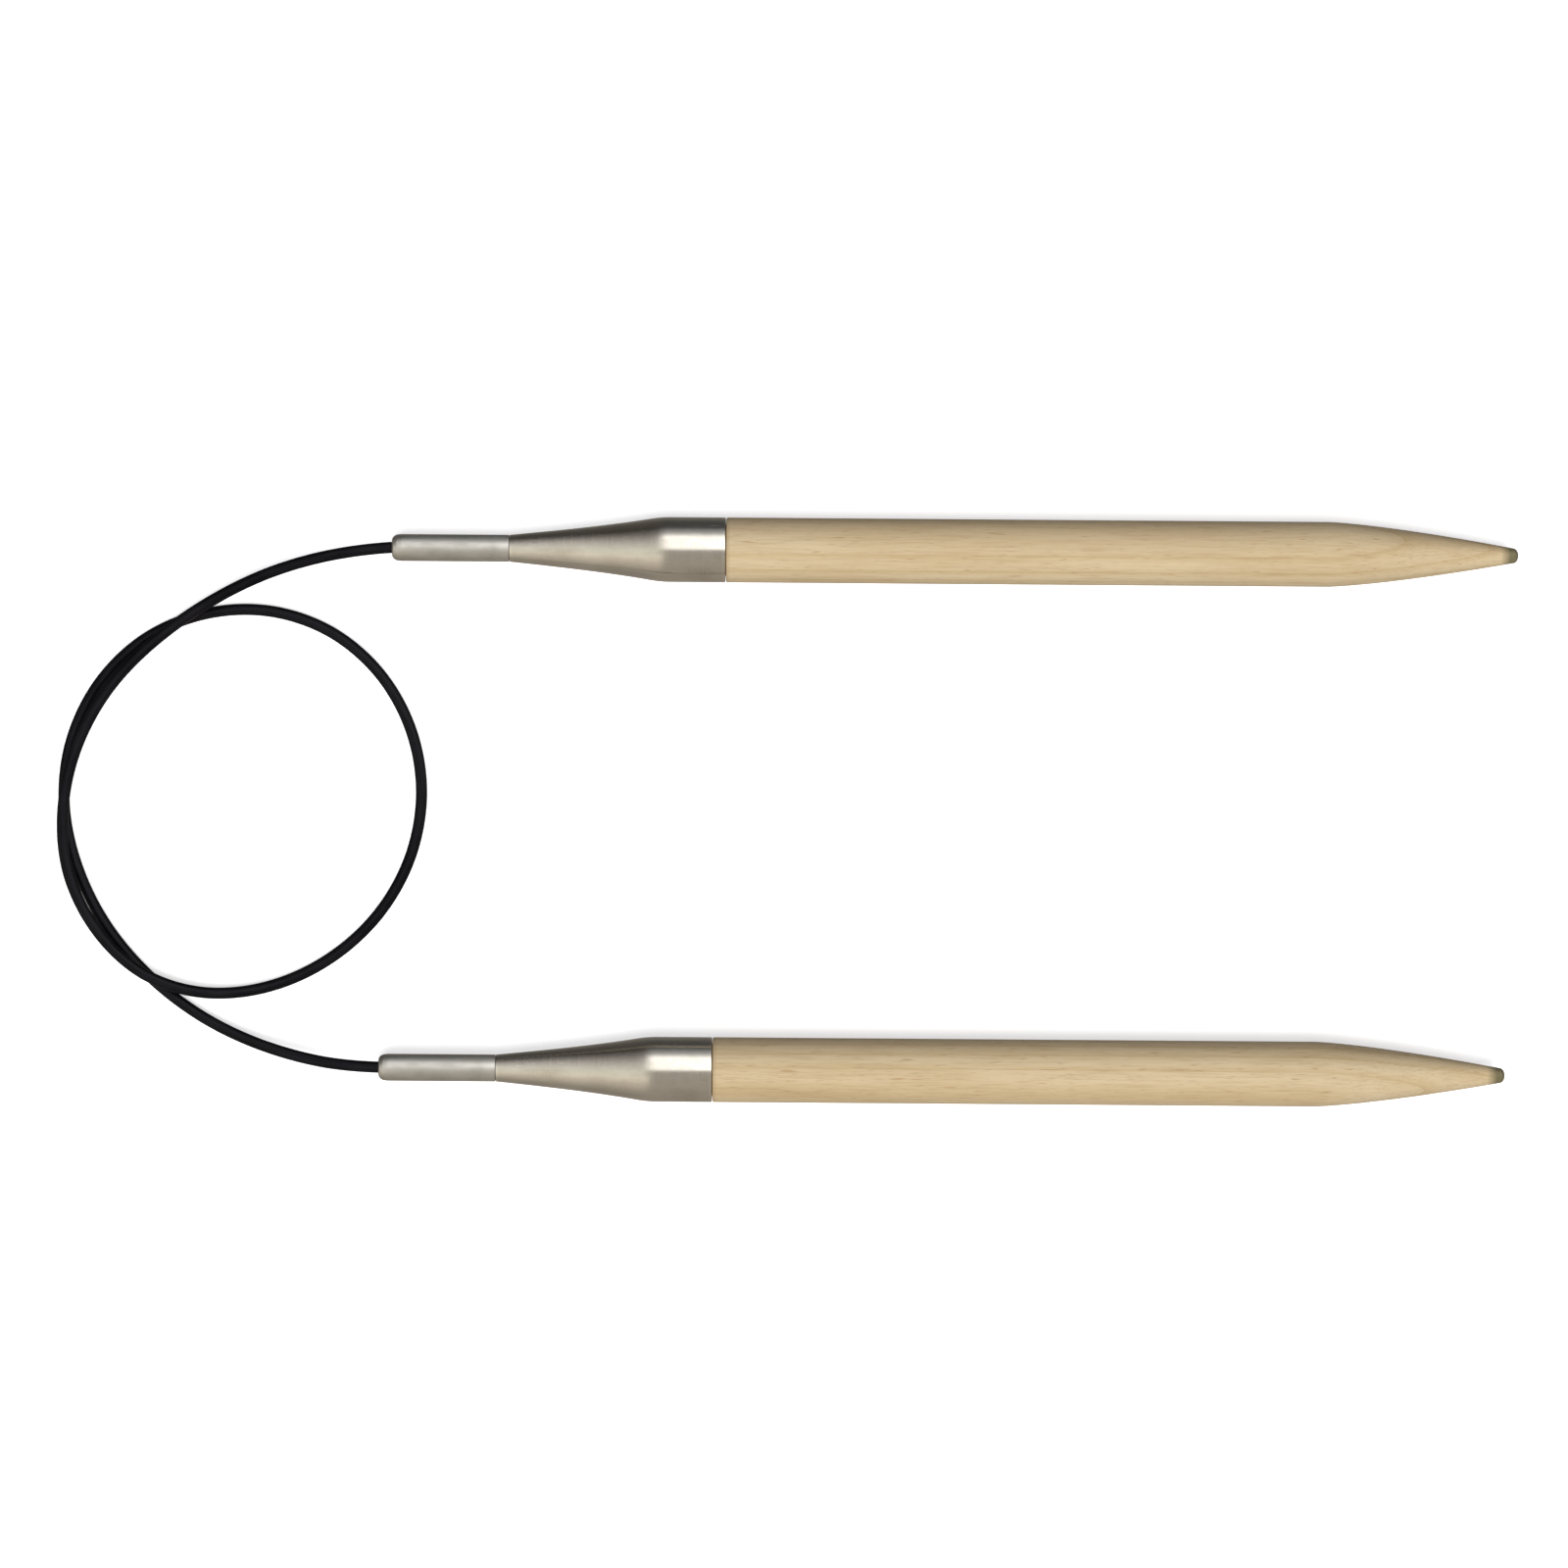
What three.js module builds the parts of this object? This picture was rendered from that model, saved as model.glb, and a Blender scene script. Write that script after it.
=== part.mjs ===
// A circular knitting needle, 6 mm thick and 40 cm from point to point.
// Two tapered wooden shafts sit in conical metal ferrules. A narrow metal tube carries on from each
// ferrule, and a thin flexible cord joins the two tubes. Each end of the cord is crimped into a metal
// pin that turns freely inside its tube, so either needle can spin without twisting the cord.
//
// Units are millimetres and +Z is up. The needle lies on a flat surface at Z 0, with its points towards
// +X and its cord towards -X. The origin is on that surface, in the middle of the two needles. "Left" and
// "right" are as seen by someone who looks along the points: the left needle is on the +Y side.

import * as THREE from "three";

// ---- Driving dimensions ----
const NEEDLE_RADIUS = 3; // half the size that the needle is sold by
const NEEDLE_LENGTH = 104; // from the mouth of the cord tube to the point
const NEEDLE_SPACING = 48; // between the axes of the two needles as they lie
const NEEDLE_STAGGER = 0.9; // the left needle lies this much further towards +X
const CORD_RADIUS = 0.53;

// Stations along a needle's axis, counted from the mouth of its cord tube.
const TUBE_END = 10.8; // where the bare tube meets the ferrule
const WEB_START = 15.4; // the ferrule's inner web, which stops the tube and the pin
const WEB_END = 16.6;
const COLLAR_START = 24.8; // where the cone has grown to the full diameter
const COLLAR_END = 30.8; // where metal meets wood
const TAPER_START = 86.4; // where the wood starts to narrow

// Radii of the hidden fits, from the middle outwards.
const WEB_BORE = 0.5;
const PIN_BORE = 0.56;
const MOUTH_BORE = 0.6;
const PIN_RADIUS = 0.8;
const TUBE_BORE = 0.85;
const SPIGOT_RADIUS = 1.05;
const TUBE_RADIUS = 1.25;
const TENON_RADIUS = 2.35;
const SOCKET_RADIUS = 2.55;

const FIT_GAP = 0.03; // between pieces that are pressed or glued together
const SEAM_GAP = 0.05; // between faces that meet end to end
const EDGE = 0.1; // size of a broken edge
const FACETS = 24; // flats round every turned piece, with one flat facing straight down
const CORD_FACETS = 8;
const CORD_STEPS = 80;

// The cord's route: out of the left tube, one and a half times round a loose loop, and into the right
// tube. Its first half crosses over its second half three times, down the side of the loop towards -X.
const CORD_ROUTE = [
  [-43.4, 24.0, 3.0],
  [-47.5, 24.0, 3.0],
  [-51.6, 24.0, 3.0],
  [-57.5, 23.2, 2.75],
  [-63.2, 21.5, 2.25],
  [-68.6, 18.8, 1.8],
  [-73.6, 15.2, 1.69],
  [-77.7, 10.9, 1.69],
  [-80.6, 5.6, 1.69],
  [-81.9, -0.2, 1.69],
  [-81.4, -6.2, 1.69],
  [-78.7, -11.6, 1.7],
  [-74.3, -15.6, 1.74],
  [-68.6, -17.3, 1.32],
  [-62.5, -16.6, 0.75],
  [-57.1, -14.0, 0.57],
  [-52.7, -9.9, 0.56],
  [-49.8, -4.6, 0.56],
  [-48.8, 1.3, 0.56],
  [-49.8, 7.1, 0.56],
  [-52.7, 12.3, 0.56],
  [-57.3, 16.2, 0.56],
  [-63.0, 18.1, 0.56],
  [-69.0, 17.8, 0.56],
  [-74.6, 15.4, 0.56],
  [-78.9, 11.1, 0.56],
  [-81.4, 5.6, 0.56],
  [-81.9, -0.3, 0.56],
  [-80.5, -6.2, 0.56],
  [-77.7, -11.5, 0.56],
  [-73.7, -16.0, 0.59],
  [-68.8, -19.6, 1.05],
  [-63.3, -22.1, 1.85],
  [-57.4, -23.6, 2.65],
  [-52.5, -24.0, 3.0],
  [-48.4, -24.0, 3.0],
  [-44.3, -24.0, 3.0],
];

// ---- Materials ----
const birch = new THREE.MeshStandardMaterial({ color: 0xd9bd8a, roughness: 0.55, metalness: 0 });
const nickel = new THREE.MeshStandardMaterial({ color: 0xb9b3a6, roughness: 0.2, metalness: 1 });
const steel = new THREE.MeshStandardMaterial({ color: 0xc2c0ba, roughness: 0.35, metalness: 1 });
const brass = new THREE.MeshStandardMaterial({ color: 0xb8964e, roughness: 0.4, metalness: 1 });
const epoxy = new THREE.MeshStandardMaterial({ color: 0xd8c99a, roughness: 0.3, metalness: 0 });
const nylon = new THREE.MeshStandardMaterial({ color: 0x0b0a10, roughness: 0.45, metalness: 0 });

// ---- Shape helpers ----

// Turns a profile of [station, radius] points about the needle's axis. The profile runs towards the
// point along the outside and back along the inside. The flats lie at the stated radius and the corners
// just past it.
function turned(profile) {
  const cornersOut = 1 / Math.cos(Math.PI / FACETS);
  const points = profile.map(([station, radius]) => new THREE.Vector2(radius * cornersOut, station));
  const onAxis = profile[0][1] === 0;
  const outline = onAxis ? points : [...points, points[0].clone()];
  return new THREE.LatheGeometry(outline, FACETS, Math.PI / FACETS);
}

// Points of a profile between two stations, where radiusAt gives the radius at a share of the way along.
function stretch(start, end, steps, radiusAt) {
  return Array.from({ length: steps + 1 }, (_, i) => {
    const share = i / steps;
    return [start + (end - start) * share, radiusAt(share)];
  });
}

// The radius along a quarter of an ellipse, which starts steep at low and ends level at high.
function domed(low, high) {
  return (share) => low + (high - low) * Math.sqrt(1 - (1 - share) ** 2);
}

// ---- The pieces of one needle ----

// Wooden shaft: a tenon for the ferrule, a straight body, and a taper that bulges a little on its way to
// a blunt point.
function shaft() {
  const tenonStart = COLLAR_START - 0.3;
  const shoulder = COLLAR_END + SEAM_GAP;
  const tenonChamfer = 0.35;
  const pointRadius = 0.7;
  const noseStart = NEEDLE_LENGTH - 0.5;
  const bulge = 1.35;
  const taper = stretch(
    TAPER_START,
    noseStart,
    9,
    (share) => NEEDLE_RADIUS - (NEEDLE_RADIUS - pointRadius) * share ** bulge,
  );
  const nose = stretch(NEEDLE_LENGTH, noseStart, 4, domed(0, pointRadius));
  return turned([
    [tenonStart, 0],
    [tenonStart, TENON_RADIUS - tenonChamfer],
    [tenonStart + tenonChamfer, TENON_RADIUS],
    [shoulder, TENON_RADIUS],
    [shoulder, NEEDLE_RADIUS - EDGE],
    [shoulder + EDGE, NEEDLE_RADIUS],
    ...taper,
    ...nose.reverse().slice(1),
  ]);
}

// Ferrule: a thin-walled cone that flares into a collar, with a socket for the tenon and a smaller seat
// for the tube's spigot. The web between the two has a small hole.
function ferrule() {
  const rear = TUBE_END + SEAM_GAP;
  const seat = SPIGOT_RADIUS + FIT_GAP;
  const socketStart = 24.2;
  const hollowEnd = 23.5;
  const straight = 0.8;
  const widening = (share) => straight * share + (1 - straight) * share ** 3;
  const cone = stretch(
    rear,
    COLLAR_START,
    8,
    (share) => TUBE_RADIUS + (NEEDLE_RADIUS - TUBE_RADIUS) * widening(share),
  );
  return turned([
    ...cone,
    [COLLAR_END - EDGE, NEEDLE_RADIUS],
    [COLLAR_END, NEEDLE_RADIUS - EDGE],
    [COLLAR_END, SOCKET_RADIUS],
    [socketStart, SOCKET_RADIUS],
    [hollowEnd, TENON_RADIUS],
    [WEB_END, SPIGOT_RADIUS],
    [WEB_END, WEB_BORE],
    [WEB_START, WEB_BORE],
    [WEB_START, seat],
    [rear, seat],
  ]);
}

// Glue line: the ring of set epoxy between the tenon and its socket.
function glueRing() {
  const start = COLLAR_START + EDGE;
  const end = COLLAR_END - 4 * EDGE;
  return turned([
    [start, SOCKET_RADIUS - FIT_GAP],
    [end, SOCKET_RADIUS - FIT_GAP],
    [end, TENON_RADIUS + FIT_GAP],
    [start, TENON_RADIUS + FIT_GAP],
  ]);
}

// Cord tube: its mouth is rolled in over the cord and holds the pin, and its spigot fits the ferrule.
function cordTube() {
  const lipLength = 0.9;
  const spigotEnd = WEB_START - EDGE;
  return turned([
    ...stretch(0, lipLength, 4, domed(PIN_RADIUS, TUBE_RADIUS)),
    [TUBE_END, TUBE_RADIUS],
    [TUBE_END, SPIGOT_RADIUS],
    [spigotEnd, SPIGOT_RADIUS],
    [spigotEnd, TUBE_BORE],
    [lipLength, TUBE_BORE],
    [lipLength, MOUTH_BORE],
    [2 * EDGE, MOUTH_BORE],
  ]);
}

// Swivel pin: its hollow front half is crimped round the end of the cord with three grooves.
function swivelPin() {
  const front = 1.15;
  const rear = 15.1;
  const boreEnd = 8.6;
  const grooveMiddles = [2.9, 4.9, 6.9];
  const grooveFloor = PIN_RADIUS - 0.08;
  const floorHalf = 0.17;
  const grooveHalf = 0.35;
  const grooves = grooveMiddles.flatMap((middle) => [
    [middle - grooveHalf, PIN_RADIUS],
    [middle - floorHalf, grooveFloor],
    [middle + floorHalf, grooveFloor],
    [middle + grooveHalf, PIN_RADIUS],
  ]);
  return turned([
    [boreEnd, 0],
    [boreEnd, PIN_BORE],
    [front, PIN_BORE],
    [front, PIN_RADIUS - EDGE],
    [front + EDGE, PIN_RADIUS],
    ...grooves,
    [rear - EDGE, PIN_RADIUS],
    [rear, PIN_RADIUS - EDGE],
    [rear, 0],
  ]);
}

// The cord, as an eight-sided tube along its route.
function cord() {
  const corners = Array.from({ length: CORD_FACETS }, (_, i) => {
    const angle = ((i + 0.5) / CORD_FACETS) * 2 * Math.PI;
    return new THREE.Vector2(CORD_RADIUS * Math.cos(angle), CORD_RADIUS * Math.sin(angle));
  });
  const route = new THREE.CatmullRomCurve3(CORD_ROUTE.map((point) => new THREE.Vector3(...point)));
  return new THREE.ExtrudeGeometry(new THREE.Shape(corners), { steps: CORD_STEPS, extrudePath: route });
}

// ---- Assembly ----

function named(name, geometry, material) {
  const mesh = new THREE.Mesh(geometry, material);
  mesh.name = name;
  return mesh;
}

// One needle with the pin of its end of the cord. The lathe's axis, +Y, is turned to +X.
function needle(side, mouthX, y) {
  const group = new THREE.Group();
  group.add(
    named(`${side}_shaft`, shaft(), birch),
    named(`${side}_ferrule`, ferrule(), nickel),
    named(`${side}_glue_ring`, glueRing(), epoxy),
    named(`${side}_cord_tube`, cordTube(), steel),
    named(`${side}_swivel_pin`, swivelPin(), brass),
  );
  group.rotation.z = -Math.PI / 2;
  group.position.set(mouthX, y, NEEDLE_RADIUS);
  return group;
}

const circularNeedle = new THREE.Group();
const rearMouthX = -(NEEDLE_LENGTH + NEEDLE_STAGGER) / 2;
circularNeedle.add(
  needle("left", rearMouthX + NEEDLE_STAGGER, NEEDLE_SPACING / 2),
  needle("right", rearMouthX, -NEEDLE_SPACING / 2),
  named("cord", cord(), nylon),
);

export default circularNeedle;
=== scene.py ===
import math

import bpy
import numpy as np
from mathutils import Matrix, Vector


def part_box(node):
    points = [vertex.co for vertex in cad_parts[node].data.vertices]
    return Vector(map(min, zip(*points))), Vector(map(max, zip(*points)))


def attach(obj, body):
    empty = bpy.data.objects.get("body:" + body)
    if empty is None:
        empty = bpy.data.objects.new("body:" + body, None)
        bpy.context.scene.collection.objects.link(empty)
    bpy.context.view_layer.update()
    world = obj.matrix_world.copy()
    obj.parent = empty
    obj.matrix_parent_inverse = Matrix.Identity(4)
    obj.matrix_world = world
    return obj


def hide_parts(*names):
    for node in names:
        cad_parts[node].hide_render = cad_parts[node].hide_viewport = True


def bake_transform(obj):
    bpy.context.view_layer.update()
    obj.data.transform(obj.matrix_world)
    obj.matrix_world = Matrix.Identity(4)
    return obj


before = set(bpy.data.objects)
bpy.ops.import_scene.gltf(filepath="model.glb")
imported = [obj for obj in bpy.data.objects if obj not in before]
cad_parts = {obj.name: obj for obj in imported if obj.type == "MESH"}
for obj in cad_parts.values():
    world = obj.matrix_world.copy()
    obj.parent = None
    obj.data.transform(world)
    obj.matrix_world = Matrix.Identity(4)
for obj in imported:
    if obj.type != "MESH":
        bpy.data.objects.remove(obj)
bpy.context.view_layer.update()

# A circular knitting needle: two birch shafts in nickel ferrules, and a black nylon cord that swivels in
# a narrow steel tube at each end. Lengths are in metres. A needle's stations are counted along its axis
# from the mouth of its cord tube towards its point, as in the CAD model.

MM = 0.001
scene = bpy.context.scene

# ---- Sizes that the CAD model settles ----

SIDES = ("left", "right")


def mouth_of(side):
    """The point on a needle's axis where the cord comes out."""
    low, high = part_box(f"{side}_cord_tube")
    return Vector((low.x, (low.y + high.y) / 2, (low.z + high.z) / 2))


MOUTH = {side: mouth_of(side) for side in SIDES}


def stations(node):
    """Where a node of the left needle starts and ends along the axis."""
    low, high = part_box(node)
    return low.x - MOUTH["left"].x, high.x - MOUTH["left"].x


def outer_radius(node):
    low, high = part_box(node)
    return (high.z - low.z) / 2


NEEDLE_RADIUS = outer_radius("left_shaft")
TUBE_RADIUS = outer_radius("left_cord_tube")
PIN_RADIUS = outer_radius("left_swivel_pin")
TENON_START, POINT = stations("left_shaft")
FERRULE_START, COLLAR_END = stations("left_ferrule")
GLUE_START, GLUE_END = stations("left_glue_ring")
PIN_FRONT, PIN_REAR = stations("left_swivel_pin")
SPIGOT_END = stations("left_cord_tube")[1]

# ---- Sizes that the frame doesn't give, the same as in the CAD model ----

SEAM = 0.05 * MM
FIT = 0.03 * MM
COLLAR_START = 24.8 * MM
TAPER_START = 86.4 * MM
NOSE_LENGTH = 0.5 * MM
POINT_RADIUS = 0.7 * MM
WEB_START = 15.4 * MM
WEB_END = 16.6 * MM
HOLLOW_END = 23.5 * MM
SOCKET_START = 24.2 * MM
LIP_LENGTH = 0.9 * MM
PIN_BORE_END = 8.6 * MM
GROOVE_MIDDLES = (2.9 * MM, 4.9 * MM, 6.9 * MM)
WEB_BORE = 0.5 * MM
CORD_RADIUS = 0.53 * MM
PIN_BORE = 0.56 * MM
MOUTH_BORE = 0.6 * MM
TUBE_BORE = 0.85 * MM
SPIGOT_RADIUS = 1.05 * MM
TENON_RADIUS = 2.35 * MM
SOCKET_RADIUS = 2.55 * MM

# The cord's route in millimetres, the same points as in the CAD model.
CORD_ROUTE = (
    (-43.4, 24.0, 3.0),
    (-47.5, 24.0, 3.0),
    (-51.6, 24.0, 3.0),
    (-57.5, 23.2, 2.75),
    (-63.2, 21.5, 2.25),
    (-68.6, 18.8, 1.8),
    (-73.6, 15.2, 1.69),
    (-77.7, 10.9, 1.69),
    (-80.6, 5.6, 1.69),
    (-81.9, -0.2, 1.69),
    (-81.4, -6.2, 1.69),
    (-78.7, -11.6, 1.7),
    (-74.3, -15.6, 1.74),
    (-68.6, -17.3, 1.32),
    (-62.5, -16.6, 0.75),
    (-57.1, -14.0, 0.57),
    (-52.7, -9.9, 0.56),
    (-49.8, -4.6, 0.56),
    (-48.8, 1.3, 0.56),
    (-49.8, 7.1, 0.56),
    (-52.7, 12.3, 0.56),
    (-57.3, 16.2, 0.56),
    (-63.0, 18.1, 0.56),
    (-69.0, 17.8, 0.56),
    (-74.6, 15.4, 0.56),
    (-78.9, 11.1, 0.56),
    (-81.4, 5.6, 0.56),
    (-81.9, -0.3, 0.56),
    (-80.5, -6.2, 0.56),
    (-77.7, -11.5, 0.56),
    (-73.7, -16.0, 0.59),
    (-68.8, -19.6, 1.05),
    (-63.3, -22.1, 1.85),
    (-57.4, -23.6, 2.65),
    (-52.5, -24.0, 3.0),
    (-48.4, -24.0, 3.0),
    (-44.3, -24.0, 3.0),
)


# ---- Camera ----


def make_camera():
    """Straight above, and turned a little, because the needle lies slightly askew in the picture."""
    width, lens, sensor = 144.8 * MM, 150.0, 36.0
    middle = (-15.2 * MM, 2.43 * MM)
    data = bpy.data.cameras.new("camera")
    data.lens, data.sensor_width = lens, sensor
    data.clip_start, data.clip_end = 0.01, 50.0
    camera = bpy.data.objects.new("camera", data)
    camera.location = (*middle, NEEDLE_RADIUS + width * lens / sensor)
    camera.rotation_euler = (0.0, 0.0, math.radians(0.43))
    scene.collection.objects.link(camera)
    scene.camera = camera


make_camera()

# ---- Node helpers ----

GRAIN = "grain"  # a vertex attribute: (distance along the piece's axis, two coordinates across it)


def linker(tree):
    """A function that links two sockets of a node tree."""

    def link(a, b):
        tree.links.new(a, b)

    return link


def new_material(name):
    """(material, its nodes, a function that links sockets, its principled shader)."""
    mat = bpy.data.materials.new(name)
    mat.use_nodes = True
    tree = mat.node_tree
    return mat, tree.nodes, linker(tree), tree.nodes["Principled BSDF"]


def stretched(nodes, link, scale, shift=(0.0, 0.0, 0.0)):
    """Grain coordinates shifted in metres, then scaled to features per metre along each axis."""
    coords = nodes.new("ShaderNodeAttribute")
    coords.attribute_name = GRAIN
    move = nodes.new("ShaderNodeVectorMath")
    move.operation = "ADD"
    move.inputs[1].default_value = shift
    scaled = nodes.new("ShaderNodeVectorMath")
    scaled.operation = "MULTIPLY"
    scaled.inputs[1].default_value = scale
    link(coords.outputs["Vector"], move.inputs[0])
    link(move.outputs[0], scaled.inputs[0])
    return scaled.outputs[0]


def station(nodes, link):
    """The distance along the piece's axis, in metres."""
    parts = nodes.new("ShaderNodeSeparateXYZ")
    link(stretched(nodes, link, (1.0, 1.0, 1.0)), parts.inputs[0])
    return parts.outputs["X"]


def noise(nodes, link, vector, detail=3.0, roughness=0.55, distortion=0.0):
    node = nodes.new("ShaderNodeTexNoise")
    node.inputs["Scale"].default_value = 1.0
    node.inputs["Detail"].default_value = detail
    node.inputs["Roughness"].default_value = roughness
    node.inputs["Distortion"].default_value = distortion
    link(vector, node.inputs["Vector"])
    return node.outputs["Fac"]


def ramp(nodes, link, value, stops):
    """A colour ramp with (place, (r, g, b)) stops."""
    node = nodes.new("ShaderNodeValToRGB")
    elements = node.color_ramp.elements
    while len(elements) < len(stops):
        elements.new(0.5)
    for element, (place, colour) in zip(elements, stops):
        element.position = place
        element.color = (*colour, 1.0)
    link(value, node.inputs["Fac"])
    return node.outputs["Color"]


def remap(nodes, link, value, from_range, to_range):
    node = nodes.new("ShaderNodeMapRange")
    node.inputs["From Min"].default_value, node.inputs["From Max"].default_value = from_range
    node.inputs["To Min"].default_value, node.inputs["To Max"].default_value = to_range
    link(value, node.inputs["Value"])
    return node.outputs["Result"]


def combined(nodes, link, operation, *values):
    """A maths node on sockets or numbers."""
    node = nodes.new("ShaderNodeMath")
    node.operation = operation
    for socket, value in zip(node.inputs, values):
        if isinstance(value, bpy.types.NodeSocket):
            link(value, socket)
        else:
            socket.default_value = value
    return node.outputs[0]


def layered(nodes, link, mode, amount, base, top):
    """The colour base with the colour top over it; amount and top are sockets or constants."""
    node = nodes.new("ShaderNodeMix")
    node.data_type = "RGBA"
    node.blend_type = mode
    factor, under, over = node.inputs[0], node.inputs[6], node.inputs[7]
    for socket, value in ((factor, amount), (under, base), (over, top)):
        if isinstance(value, bpy.types.NodeSocket):
            link(value, socket)
        elif isinstance(value, tuple):
            socket.default_value = (*value, 1.0)
        else:
            socket.default_value = value
    return node.outputs[2]


def bump(nodes, link, shader, height, depth, under=None):
    """Bumps of the given depth in metres, on top of the bumps under them."""
    node = nodes.new("ShaderNodeBump")
    node.inputs["Strength"].default_value = 1.0
    node.inputs["Distance"].default_value = depth
    link(height, node.inputs["Height"])
    if under is not None:
        link(under, node.inputs["Normal"])
    link(node.outputs["Normal"], shader.inputs["Normal"])
    return node.outputs["Normal"]


# ---- Materials ----


def birch(name, pith, shift):
    """Pale birch with a waxed face: faint growth rings round a far-off pith, lengthwise streaks, fine
    fibres, short dark pores and a few brown flecks. It is darker at the point and at the shoulder."""
    mat, nodes, link, shader = new_material(name)
    rings = nodes.new("ShaderNodeTexWave")
    rings.wave_type, rings.rings_direction, rings.wave_profile = "RINGS", "X", "SAW"
    rings.inputs["Scale"].default_value = 0.26
    rings.inputs["Distortion"].default_value = 1.6
    rings.inputs["Detail"].default_value = 3.0
    rings.inputs["Detail Scale"].default_value = 0.35
    link(stretched(nodes, link, (60.0, 1000.0, 1000.0), pith), rings.inputs["Vector"])
    wood = (
        (0.0, (0.565, 0.442, 0.268)),
        (0.55, (0.590, 0.468, 0.292)),
        (0.86, (0.545, 0.419, 0.244)),
        (1.0, (0.500, 0.371, 0.205)),
    )
    colour = ramp(nodes, link, rings.outputs["Fac"], wood)

    def shaded(scale, detail, from_shade, amount):
        """(streaks of the given scale, the wood's colour with them multiplied over it)."""
        streaks = noise(nodes, link, stretched(nodes, link, scale, shift), detail, 0.55)
        shades = ramp(nodes, link, streaks, ((0.34, from_shade), (0.54, (1.0, 1.0, 1.0))))
        return streaks, layered(nodes, link, "MULTIPLY", amount, colour, shades)

    _, colour = shaded((40.0, 300.0, 300.0), 4.0, (0.84, 0.79, 0.70), 0.6)
    fibres, colour = shaded((240.0, 6500.0, 6500.0), 4.0, (0.74, 0.68, 0.60), 0.42)
    pores = noise(nodes, link, stretched(nodes, link, (900.0, 15000.0, 15000.0), shift), 0.0)
    pore_mask = remap(nodes, link, pores, (0.70, 0.80), (0.0, 0.45))
    colour = layered(nodes, link, "MIX", pore_mask, colour, (0.30, 0.19, 0.09))
    flecks = noise(nodes, link, stretched(nodes, link, (480.0, 4200.0, 4200.0), shift[::-1]), 1.0, 0.4)
    fleck_mask = remap(nodes, link, flecks, (0.70, 0.77), (0.0, 0.6))
    colour = layered(nodes, link, "MIX", fleck_mask, colour, (0.36, 0.215, 0.095))
    along = station(nodes, link)
    dark_start, dark_end = POINT - 1.7 * MM, POINT - 0.8 * MM
    at_point = remap(nodes, link, along, (dark_start, dark_end), (0.0, 0.9))
    colour = layered(nodes, link, "MIX", at_point, colour, (0.105, 0.092, 0.042))
    shoulder = COLLAR_END + SEAM
    at_shoulder = remap(nodes, link, along, (shoulder + 0.45 * MM, shoulder), (0.0, 0.6))
    colour = layered(nodes, link, "MIX", at_shoulder, colour, (0.36, 0.25, 0.13))
    link(colour, shader.inputs["Base Color"])
    link(remap(nodes, link, fibres, (0.3, 0.7), (0.60, 0.44)), shader.inputs["Roughness"])
    shader.inputs["Specular IOR Level"].default_value = 0.45
    shader.inputs["Coat Weight"].default_value = 0.18
    shader.inputs["Coat Roughness"].default_value = 0.3
    pits = remap(nodes, link, pores, (0.68, 0.80), (0.0, -1.0))
    sanding = noise(nodes, link, stretched(nodes, link, (5200.0, 240.0, 240.0), shift), 2.0)
    under = bump(nodes, link, shader, fibres, 0.006 * MM)
    under = bump(nodes, link, shader, pits, 0.01 * MM, under)
    bump(nodes, link, shader, sanding, 0.002 * MM, under)
    return mat


def worked_metal(name, colour, tarnish, roughness, marks, depth, scratches, worn=()):
    """Metal with tool marks that run round it or along it, fine scratches the other way, cloudy tarnish,
    and bright worn bands round the stations in worn. depth holds how deep the marks and the scratches are,
    roughness the smoothest and the dullest that it gets."""
    mat, nodes, link, shader = new_material(name)
    clouds = noise(nodes, link, stretched(nodes, link, (230.0, 420.0, 420.0), (0.3, 0.1, 0.2)), 4.0, 0.6)
    marked = noise(nodes, link, stretched(nodes, link, marks), 3.0, 0.65)
    scored = noise(nodes, link, stretched(nodes, link, scratches, (0.7, 0.4, 0.1)), 2.0, 0.5, 0.4)
    bright = tuple(min(1.0, 1.12 * c) for c in colour)
    finish = ramp(nodes, link, clouds, ((0.36, tarnish), (0.52, colour), (0.9, bright)))
    half_width, raggedness, fade = 0.35 * MM, 0.3 * MM, 0.12 * MM
    for middle in worn:
        offset = combined(nodes, link, "SUBTRACT", station(nodes, link), middle)
        away = combined(nodes, link, "ABSOLUTE", offset)
        ragged_edge = combined(nodes, link, "MULTIPLY_ADD", clouds, -raggedness, half_width)
        past_edge = combined(nodes, link, "SUBTRACT", away, ragged_edge)
        mask = remap(nodes, link, past_edge, (fade, 0.0), (0.0, 0.7))
        finish = layered(nodes, link, "MIX", mask, finish, bright)
    link(finish, shader.inputs["Base Color"])
    smooth, dull = roughness
    base = remap(nodes, link, clouds, (0.35, 0.7), (dull, smooth))
    streaks = remap(nodes, link, marked, (0.3, 0.7), (-0.05, 0.05))
    link(combined(nodes, link, "ADD", base, streaks), shader.inputs["Roughness"])
    shader.inputs["Metallic"].default_value = 1.0
    mark_depth, scratch_depth = depth
    scratched = remap(nodes, link, scored, (0.68, 0.78), (0.0, -1.0))
    under = bump(nodes, link, shader, marked, mark_depth)
    bump(nodes, link, shader, scratched, scratch_depth, under)
    return mat


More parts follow.
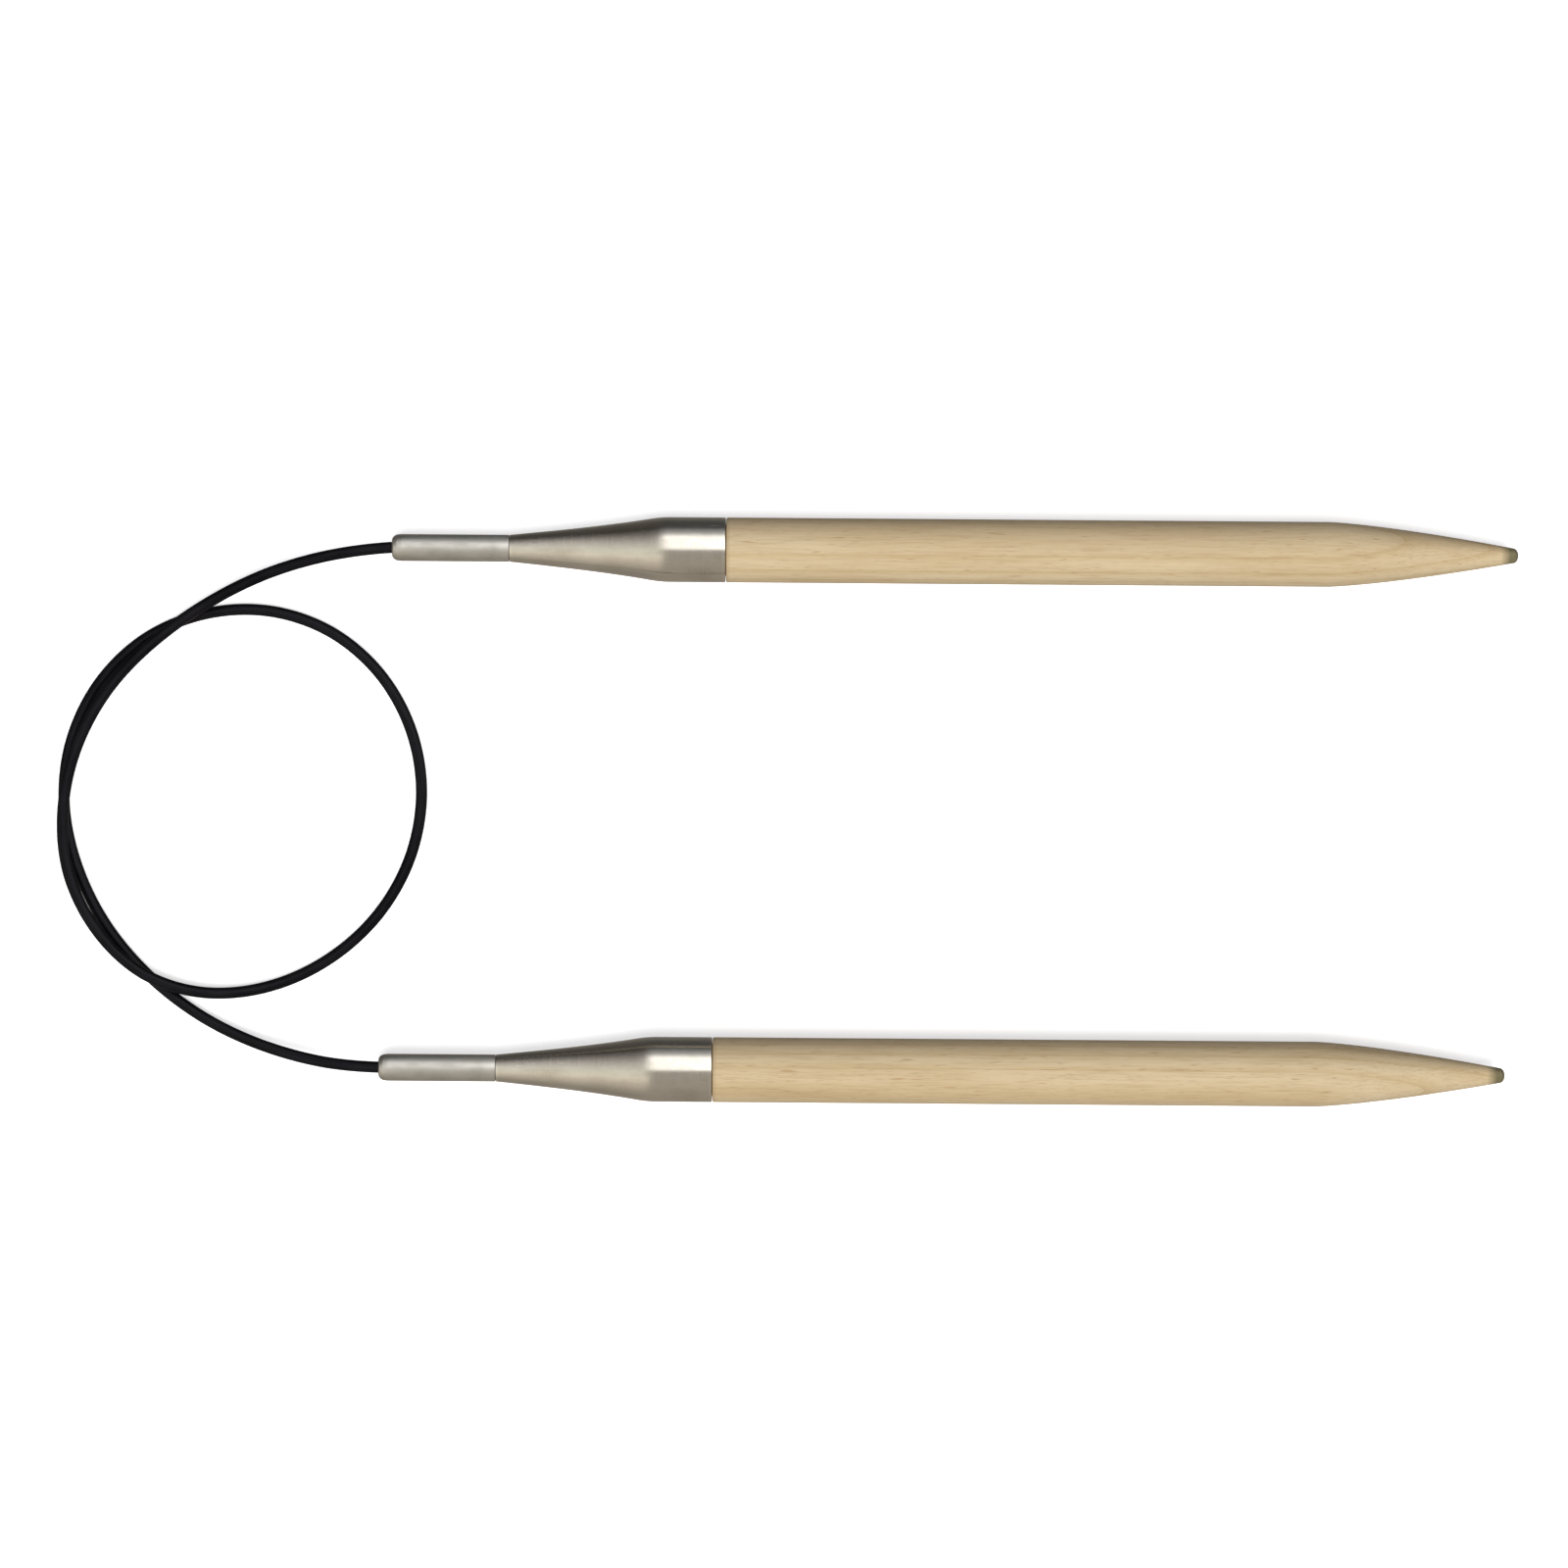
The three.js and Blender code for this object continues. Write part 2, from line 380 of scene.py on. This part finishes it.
def nylon(name):
    """Black nylon with the lengthwise lines of its die, a dull bloom, small scuffs and a soft sheen."""
    mat, nodes, link, shader = new_material(name)
    bloom = noise(nodes, link, stretched(nodes, link, (300.0, 900.0, 900.0)), 4.0, 0.6)
    lines = noise(nodes, link, stretched(nodes, link, (120.0, 9000.0, 9000.0)), 2.0)
    scuffed_at = stretched(nodes, link, (2600.0, 3500.0, 3500.0), (0.2, 0.5, 0.3))
    scuffs = noise(nodes, link, scuffed_at, 3.0, 0.6)
    blacks = ((0.35, (0.0016, 0.0015, 0.0024)), (0.7, (0.0065, 0.0060, 0.0080)))
    drawn = remap(nodes, link, lines, (0.5, 0.75), (0.0, 0.6))
    colour = layered(nodes, link, "MIX", drawn, ramp(nodes, link, bloom, blacks), (0.010, 0.009, 0.012))
    link(colour, shader.inputs["Base Color"])
    base = remap(nodes, link, bloom, (0.3, 0.7), (0.28, 0.42))
    scuffed = remap(nodes, link, scuffs, (0.55, 0.75), (0.0, 0.14))
    link(combined(nodes, link, "ADD", base, scuffed), shader.inputs["Roughness"])
    shader.inputs["Specular IOR Level"].default_value = 0.11
    under = bump(nodes, link, shader, lines, 0.016 * MM)
    bump(nodes, link, shader, scuffs, 0.010 * MM, under)
    return mat


def epoxy(name):
    """Set amber epoxy with small bubbles."""
    mat, nodes, link, shader = new_material(name)
    bubbles = noise(nodes, link, stretched(nodes, link, (3500.0, 3500.0, 3500.0)), 2.0)
    ambers = ((0.4, (0.62, 0.47, 0.22)), (0.65, (0.80, 0.68, 0.42)))
    link(ramp(nodes, link, bubbles, ambers), shader.inputs["Base Color"])
    link(remap(nodes, link, bubbles, (0.3, 0.7), (0.12, 0.3)), shader.inputs["Roughness"])
    bump(nodes, link, shader, bubbles, 0.01 * MM)
    return mat


AROUND = (16000.0, 260.0, 260.0)
ALONG = (260.0, 12000.0, 12000.0)
WOODS = {
    "left": birch("birch_left", (0.0, 0.021, 0.034), (0.13, 0.02, 0.41)),
    "right": birch("birch_right", (0.0, -0.030, 0.027), (0.57, 0.33, 0.09)),
}
NICKEL = worked_metal(
    "nickel_plate",
    colour=(0.66, 0.62, 0.55),
    tarnish=(0.60, 0.555, 0.48),
    roughness=(0.16, 0.24),
    marks=AROUND,
    depth=(0.0008 * MM, 0.004 * MM),
    scratches=ALONG,
    worn=(FERRULE_START, COLLAR_END),
)
STEEL = worked_metal(
    "tube_steel",
    colour=(0.64, 0.62, 0.58),
    tarnish=(0.55, 0.53, 0.485),
    roughness=(0.40, 0.54),
    marks=ALONG,
    depth=(0.006 * MM, 0.008 * MM),
    scratches=AROUND,
    worn=(0.0,),
)
BRASS = worked_metal(
    "pin_brass",
    colour=(0.74, 0.55, 0.24),
    tarnish=(0.52, 0.36, 0.14),
    roughness=(0.22, 0.38),
    marks=AROUND,
    depth=(0.001 * MM, 0.004 * MM),
    scratches=ALONG,
)
NYLON = nylon("cord_nylon")
EPOXY = epoxy("epoxy")

# ---- Turned pieces ----

FILLET_SHARE = 0.45  # the most of a straight that one fillet may take
ON_AXIS = 1e-9  # a radius below this is a point on the axis


def unit(vector):
    return vector / np.linalg.norm(vector)


def turn_between(before, after):
    """The angle by which an outline turns from one direction to the next."""
    return math.acos(float(np.clip(unit(before) @ unit(after), -1.0, 1.0)))


def filleted(corners, steps=5):
    """An outline of (station, radius, fillet) corners, each rounded by its own fillet radius. A fillet
    takes up less than half of the shorter straight beside it, and is made smaller where it wouldn't fit."""
    outline = []
    for i, (s, r, fillet) in enumerate(corners):
        here = np.array((s, r))
        if fillet == 0:
            outline.append(here)
            continue
        back = np.array(corners[i - 1][:2]) - here
        ahead = np.array(corners[(i + 1) % len(corners)][:2]) - here
        turn = turn_between(-back, ahead)
        room = FILLET_SHARE * min(np.linalg.norm(back), np.linalg.norm(ahead))
        cut = min(fillet * math.tan(turn / 2), room)
        radius = cut / math.tan(turn / 2)
        centre = here + unit(unit(back) + unit(ahead)) * math.hypot(cut, radius)
        first = here + unit(back) * cut - centre
        last = here + unit(ahead) * cut - centre
        for share in np.linspace(0.0, 1.0, steps + 1):
            weights = math.sin((1 - share) * turn), math.sin(share * turn)
            outline.append(centre + (weights[0] * first + weights[1] * last) / math.sin(turn))
    return outline


def held_flat(outline, longest=2.5 * MM, support=0.04 * MM, sharp=math.radians(4)):
    """The outline with its straights cut into lengths of at most longest. A straight that ends at a turn
    of more than sharp also gets a point just inside that end, which keeps smooth shading flat along it."""
    closed = outline[0][1] > 0
    count = len(outline)
    full = []
    for i, here in enumerate(outline):
        full.append(here)
        if i == count - 1 and not closed:
            break
        there = outline[(i + 1) % count]
        step = there - here
        length = np.linalg.norm(step)
        if length < 4 * support:
            continue
        before = here - outline[i - 1]
        after = outline[(i + 2) % count] - there
        shares = []
        if (i > 0 or closed) and turn_between(before, step) > sharp:
            shares.append(support / length)
        cuts = max(1, math.ceil(length / longest))
        shares.extend(k / cuts for k in range(1, cuts))
        if (i < count - 2 or closed) and turn_between(step, after) > sharp:
            shares.append(1 - support / length)
        full.extend(here + step * share for share in shares)
    return full


def mesh_piece(name, vertices, faces, grain, material):
    """A smooth mesh object that carries its grain coordinates."""
    mesh = bpy.data.meshes.new(name)
    mesh.from_pydata(vertices, [], faces)
    mesh.attributes.new(GRAIN, "FLOAT_VECTOR", "POINT").data.foreach_set("vector", np.ravel(grain))
    mesh.shade_smooth()
    mesh.materials.append(material)
    piece = bpy.data.objects.new(name, mesh)
    scene.collection.objects.link(piece)
    return piece


def turned(part, corners, side, body, material, slot, around=96):
    """Part of a needle, turned about its axis from (station, radius, fillet) corners. The outline runs
    towards the point along the outside and back along the inside. It starts and ends on the axis, or
    closes."""
    outline = held_flat(filleted(corners))
    grain, rings = [], []
    for s, r in outline:
        first = len(grain)
        if r < ON_AXIS:
            grain.append((s, 0.0, 0.0))
            rings.append([first] * around)
            continue
        for k in range(around):
            angle = 2 * math.pi * k / around
            grain.append((s, r * math.cos(angle), r * math.sin(angle)))
        rings.append(list(range(first, first + around)))
    if outline[0][1] > 0:
        rings.append(rings[0])
    faces = []
    for low, high in zip(rings, rings[1:]):
        for k in range(around):
            n = (k + 1) % around
            faces.append(tuple(dict.fromkeys((low[k], low[n], high[n], high[k]))))
    vertices = [tuple(MOUTH[side] + Vector(point)) for point in grain]
    node = f"{side}_{part}"
    piece = mesh_piece(f"{node}_{slot}", vertices, faces, grain, material)
    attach(piece, body)
    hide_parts(node)
    return piece


def stretch(start, end, steps, radius_at):
    """Plain corners from one station to another, with radius_at giving the radius at a station."""
    return [(s, radius_at(s), 0.0) for s in np.linspace(start, end, steps + 1)]


def shaft(side):
    bulge = 1.35
    shoulder = COLLAR_END + SEAM
    nose_start = POINT - NOSE_LENGTH

    def taper(s):
        share = (s - TAPER_START) / (nose_start - TAPER_START)
        return NEEDLE_RADIUS - (NEEDLE_RADIUS - POINT_RADIUS) * share**bulge

    nose = [
        (nose_start + NOSE_LENGTH * math.sin(a), POINT_RADIUS * math.cos(a), 0.0)
        for a in np.linspace(0.0, math.pi / 2, 11)[1:-1]
    ]
    corners = [
        (TENON_START, 0.0, 0.0),
        (TENON_START, TENON_RADIUS, 0.35 * MM),
        (shoulder, TENON_RADIUS, 0.1 * MM),
        (shoulder, NEEDLE_RADIUS, 0.16 * MM),
        *stretch(TAPER_START, nose_start, 40, taper),
        *nose,
        (POINT, 0.0, 0.0),
    ]
    turned("shaft", corners, side, f"{side}_needle", WOODS[side], "birch", 128)


def ferrule(side):
    """The cone runs into the collar through a short blend, not a corner."""
    straight = 0.8
    blend = 0.17 * MM
    blend_length = 1.2 * MM
    seat = SPIGOT_RADIUS + FIT

    def outside(s):
        share = (s - FERRULE_START) / (COLLAR_START - FERRULE_START)
        widening = straight * share + (1 - straight) * share**3
        cone = TUBE_RADIUS + (NEEDLE_RADIUS - TUBE_RADIUS) * widening
        overlap = max(0.0, 1 - abs(cone - NEEDLE_RADIUS) / blend)
        return min(cone, NEEDLE_RADIUS) - overlap**2 * blend / 4

    corners = [
        (FERRULE_START, TUBE_RADIUS, 0.03 * MM),
        *stretch(FERRULE_START + 0.2 * MM, COLLAR_START + blend_length, 48, outside),
        (COLLAR_END, NEEDLE_RADIUS, 0.09 * MM),
        (COLLAR_END, SOCKET_RADIUS, 0.05 * MM),
        (SOCKET_START, SOCKET_RADIUS, 0.1 * MM),
        (HOLLOW_END, TENON_RADIUS, 0.1 * MM),
        (WEB_END, SPIGOT_RADIUS, 0.1 * MM),
        (WEB_END, WEB_BORE, 0.05 * MM),
        (WEB_START, WEB_BORE, 0.05 * MM),
        (WEB_START, seat, 0.05 * MM),
        (FERRULE_START, seat, 0.03 * MM),
    ]
    turned("ferrule", corners, side, f"{side}_needle", NICKEL, "nickel_plate", 128)


def cord_tube(side):
    """The tube's mouth is rolled in: a round shoulder, then a small flat lip round the cord."""
    tube_end = FERRULE_START - SEAM
    corners = [
        (0.0, 0.8 * MM, 0.06 * MM),
        (0.12 * MM, 1.02 * MM, 0.3 * MM),
        (0.42 * MM, 1.2 * MM, 0.4 * MM),
        (LIP_LENGTH, TUBE_RADIUS, 0.8 * MM),
        (tube_end, TUBE_RADIUS, 0.04 * MM),
        (tube_end, SPIGOT_RADIUS, 0.03 * MM),
        (SPIGOT_END, SPIGOT_RADIUS, 0.06 * MM),
        (SPIGOT_END, TUBE_BORE, 0.04 * MM),
        (LIP_LENGTH, TUBE_BORE, 0.08 * MM),
        (LIP_LENGTH, MOUTH_BORE, 0.06 * MM),
        (0.2 * MM, MOUTH_BORE, 0.15 * MM),
    ]
    turned("cord_tube", corners, side, f"{side}_needle", STEEL, "tube_steel")


def glue_ring(side):
    outer, inner, edge = SOCKET_RADIUS - FIT, TENON_RADIUS + FIT, 0.04 * MM
    corners = [
        (GLUE_START, outer, edge),
        (GLUE_END, outer, edge),
        (GLUE_END, inner, edge),
        (GLUE_START, inner, edge),
    ]
    turned("glue_ring", corners, side, f"{side}_needle", EPOXY, "epoxy")


def swivel_pin(side, body):
    """The pin's hollow front is crimped round the cord's end with three soft grooves."""
    depth, half_width = 0.08 * MM, 0.35 * MM
    grooves = [
        corner
        for middle in GROOVE_MIDDLES
        for corner in (
            (middle - half_width, PIN_RADIUS, 0.2 * MM),
            (middle, PIN_RADIUS - depth, 0.5 * MM),
            (middle + half_width, PIN_RADIUS, 0.2 * MM),
        )
    ]
    corners = [
        (PIN_BORE_END, 0.0, 0.0),
        (PIN_BORE_END, PIN_BORE, 0.06 * MM),
        (PIN_FRONT, PIN_BORE, 0.06 * MM),
        (PIN_FRONT, PIN_RADIUS, 0.1 * MM),
        *grooves,
        (PIN_REAR, PIN_RADIUS, 0.12 * MM),
        (PIN_REAR, 0.0, 0.0),
    ]
    return turned("swivel_pin", corners, side, body, BRASS, "pin_brass", 64)


# ---- The cord ----


def smooth_route(points, steps, samples=40):
    """(evenly spaced points, length) of a centripetal Catmull-Rom curve through points in millimetres,
    worked out at the given number of samples between each two of them."""
    p = np.array(points) * MM
    p = np.vstack((2 * p[0] - p[1], p, 2 * p[-1] - p[-2]))
    curve = []
    for i in range(1, len(p) - 2):
        four = p[i - 1 : i + 3]
        gaps = np.linalg.norm(np.diff(four, axis=0), axis=1) ** 0.5
        knots = np.concatenate(([0.0], np.cumsum(gaps)))
        for t in np.linspace(knots[1], knots[2], samples, endpoint=False):
            row = list(four)
            for level in range(1, 4):
                row = [
                    ((knots[k + level] - t) * row[k] + (t - knots[k]) * row[k + 1])
                    / (knots[k + level] - knots[k])
                    for k in range(4 - level)
                ]
            curve.append(row[0])
    curve = np.array([*curve, p[-2]])
    run = np.concatenate(([0.0], np.cumsum(np.linalg.norm(np.diff(curve, axis=0), axis=1))))
    places = np.linspace(0.0, run[-1], steps + 1)
    return np.stack([np.interp(places, run, curve[:, k]) for k in range(3)], axis=1), float(run[-1])


def make_cord(around=24, steps=520):
    """The cord, with a swivel pin crimped on each end."""
    pins = [swivel_pin("left", "cord"), swivel_pin("right", "right_cord_end")]
    path, length = smooth_route(CORD_ROUTE, steps)
    tangents = np.gradient(path, axis=0)
    tangents /= np.linalg.norm(tangents, axis=1)[:, None]
    across = np.cross((0.0, 0.0, 1.0), tangents)
    across /= np.linalg.norm(across, axis=1)[:, None]
    up = np.cross(tangents, across)
    vertices, grain, faces = [], [], []
    for i, centre in enumerate(path):
        along = length * i / steps
        for k in range(around):
            angle = 2 * math.pi * k / around
            a, b = CORD_RADIUS * math.cos(angle), CORD_RADIUS * math.sin(angle)
            vertices.append(tuple(centre + a * across[i] + b * up[i]))
            grain.append((along, a, b))
    for i in range(steps):
        low, high = i * around, (i + 1) * around
        for k in range(around):
            n = (k + 1) % around
            faces.append((low + k, low + n, high + n, high + k))
    faces.append(tuple(range(around - 1, -1, -1)))
    faces.append(tuple(range(steps * around, (steps + 1) * around)))
    cord = mesh_piece("cord_nylon_tube", vertices, faces, grain, NYLON)
    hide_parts("cord")
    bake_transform(cord)


make_cord()
for each_side in SIDES:
    shaft(each_side)
    ferrule(each_side)
    cord_tube(each_side)
    glue_ring(each_side)


# ---- Stage and light ----


def make_floor(name, grey, glow):
    """A plain floor, unseen in reflections."""
    reach = 12.0
    mesh = bpy.data.meshes.new(name)
    corners = [(-reach, -reach, 0.0), (reach, -reach, 0.0), (reach, reach, 0.0), (-reach, reach, 0.0)]
    mesh.from_pydata(corners, [], [(0, 1, 2, 3)])
    mat, _, _, shader = new_material(name)
    shader.inputs["Base Color"].default_value = (grey, grey, grey, 1.0)
    shader.inputs["Roughness"].default_value = 0.9
    shader.inputs["Specular IOR Level"].default_value = 0.0
    shader.inputs["Emission Color"].default_value = (1.0, 1.0, 1.0, 1.0)
    shader.inputs["Emission Strength"].default_value = glow
    mesh.materials.append(mat)
    floor = bpy.data.objects.new(name, mesh)
    floor.visible_glossy = False
    scene.collection.objects.link(floor)
    return floor


def make_floors():
    """The floor that the camera sees is a glowing white sheet. A dimmer one, just below it, is the one that
    sends light back up to the needle."""
    seen = make_floor("floor", 0.9, 0.56)
    seen.visible_diffuse = False
    seen.visible_shadow = False
    dim = make_floor("floor_below", 0.34, 0.0)
    dim.location.z = -0.02 * MM
    dim.visible_camera = False


def make_world():
    """White to the camera and dim to the wood. Reflections see a warm grey room with a bright strip
    overhead that leans towards +Y, a black flag low on that side, and a wall with softer steps past the
    cord."""
    world = bpy.data.worlds.new("studio")
    scene.world = world
    world.use_nodes = True
    nodes, link = world.node_tree.nodes, linker(world.node_tree)

    def at(degrees):
        """The place on a ramp of a direction that leans this far from straight up towards +Y."""
        return 0.5 + degrees / 360

    coords = nodes.new("ShaderNodeTexCoord")
    parts = nodes.new("ShaderNodeSeparateXYZ")
    link(coords.outputs["Generated"], parts.inputs[0])
    lean = combined(nodes, link, "ARCTAN2", parts.outputs["Y"], parts.outputs["Z"])
    turn = remap(nodes, link, lean, (-math.pi, math.pi), (0.0, 1.0))
    room = (
        (at(-150), (0.34, 0.30, 0.26)),
        (at(-60), (0.42, 0.39, 0.345)),
        (at(-4), (0.40, 0.38, 0.35)),
        (at(2), (1.9, 1.9, 1.9)),
        (at(42), (1.9, 1.9, 1.9)),
        (at(58), (0.55, 0.56, 0.58)),
        (at(84), (0.07, 0.075, 0.08)),
        (at(112), (0.08, 0.08, 0.08)),
        (at(160), (0.25, 0.24, 0.22)),
    )
    wall = (
        (at(-130), (0.26, 0.25, 0.22)),
        (at(-95), (0.40, 0.37, 0.32)),
        (at(-60), (0.70, 0.64, 0.55)),
        (at(-30), (1.00, 0.95, 0.83)),
        (at(-5), (0.90, 0.90, 0.82)),
        (at(20), (0.60, 0.60, 0.57)),
        (at(46), (0.28, 0.265, 0.26)),
        (at(80), (0.05, 0.045, 0.04)),
        (at(130), (0.12, 0.11, 0.10)),
    )
    past_cord = remap(nodes, link, parts.outputs["X"], (-0.12, -0.18), (0.0, 1.0))
    mirrored = layered(
        nodes, link, "MIX", past_cord, ramp(nodes, link, turn, room), ramp(nodes, link, turn, wall)
    )
    path = nodes.new("ShaderNodeLightPath")
    lit = layered(nodes, link, "MIX", path.outputs["Is Glossy Ray"], (0.27, 0.27, 0.28), mirrored)
    shown = layered(nodes, link, "MIX", path.outputs["Is Camera Ray"], lit, (1.0, 1.0, 1.0))
    link(shown, nodes["Background"].inputs["Color"])


def make_key():
    """A broad soft light, high up and a little towards -Y."""
    data = bpy.data.lights.new("key", "SUN")
    data.energy = 3.1
    data.angle = math.radians(36)
    key = bpy.data.objects.new("key", data)
    key.rotation_euler = (math.radians(20), 0.0, 0.0)
    key.visible_glossy = False
    scene.collection.objects.link(key)


make_floors()
make_world()
make_key()
scene.view_settings.view_transform = "Standard"
scene.view_settings.look = "None"
